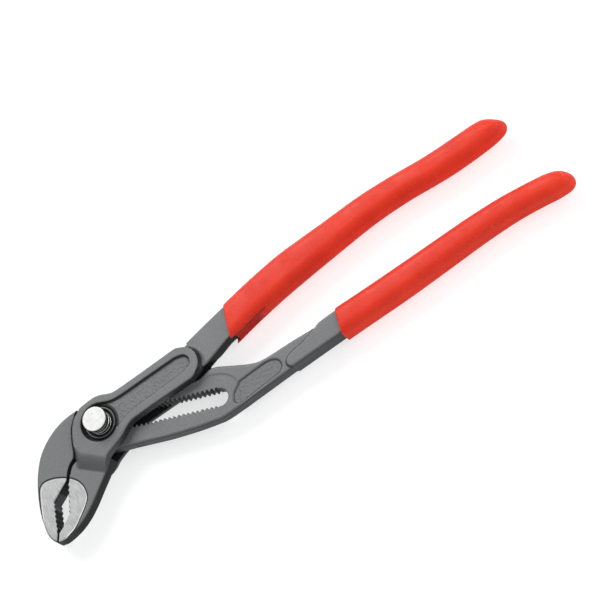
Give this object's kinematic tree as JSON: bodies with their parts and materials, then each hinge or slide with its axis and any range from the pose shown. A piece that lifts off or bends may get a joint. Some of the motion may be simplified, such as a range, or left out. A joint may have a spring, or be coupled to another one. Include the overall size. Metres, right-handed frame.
{
  "type": "tongue and groove pliers",
  "caption": "Push-button box-joint water pump pliers: forged grey steel levers with ground toothed jaws, a toothed adjusting slot and long red dipped grips.",
  "frame": {"origin": "on the pivot axis, in the plane of the back of the box joint, at the centre of the bolt's flat rear face", "axes": "+Z along the pivot axis towards the push button, +X from the jaws towards the handles, +Y in the plane of the tool towards the upper handle"},
  "size_m": [0.2495, 0.0548, 0.0195],
  "materials": {
    "forged_steel": "satin grey phosphated forging",
    "dark_steel": "blackened, oiled",
    "bright_steel": "bright ground",
    "red_plastic": "matte dipped coating, fine grain"
  },
  "bodies": {
    "outer_lever": {"outer_lever": "forged_steel", "outer_grip": "red_plastic"},
    "bolt_seat": {"spring_cup": "dark_steel", "button_spring": "dark_steel"},
    "push_button": {"pivot_bolt": "dark_steel", "push_button": "bright_steel"},
    "inner_lever": {"inner_lever": "forged_steel", "inner_grip": "red_plastic"}
  },
  "joints": [
    {"name": "jaw_pivot", "type": "hinge", "parent": "outer_lever", "child": "bolt_seat", "pos_m": [0, 0, 0.0074], "axis": [0, 0, 1], "range_deg": [-30, 0]},
    {"name": "jaw_size", "type": "slide", "parent": "bolt_seat", "child": "inner_lever", "axis": [-0.9026, 0.4305, 0], "range_m": [0, 0.036]},
    {"name": "button_press", "type": "slide", "parent": "bolt_seat", "child": "push_button", "axis": [0, 0, -1], "range_m": [0, 0.0018], "stiffness_N_per_m": 2500, "springref_m": -0.001, "deforming": ["button_spring"]}
  ]
}
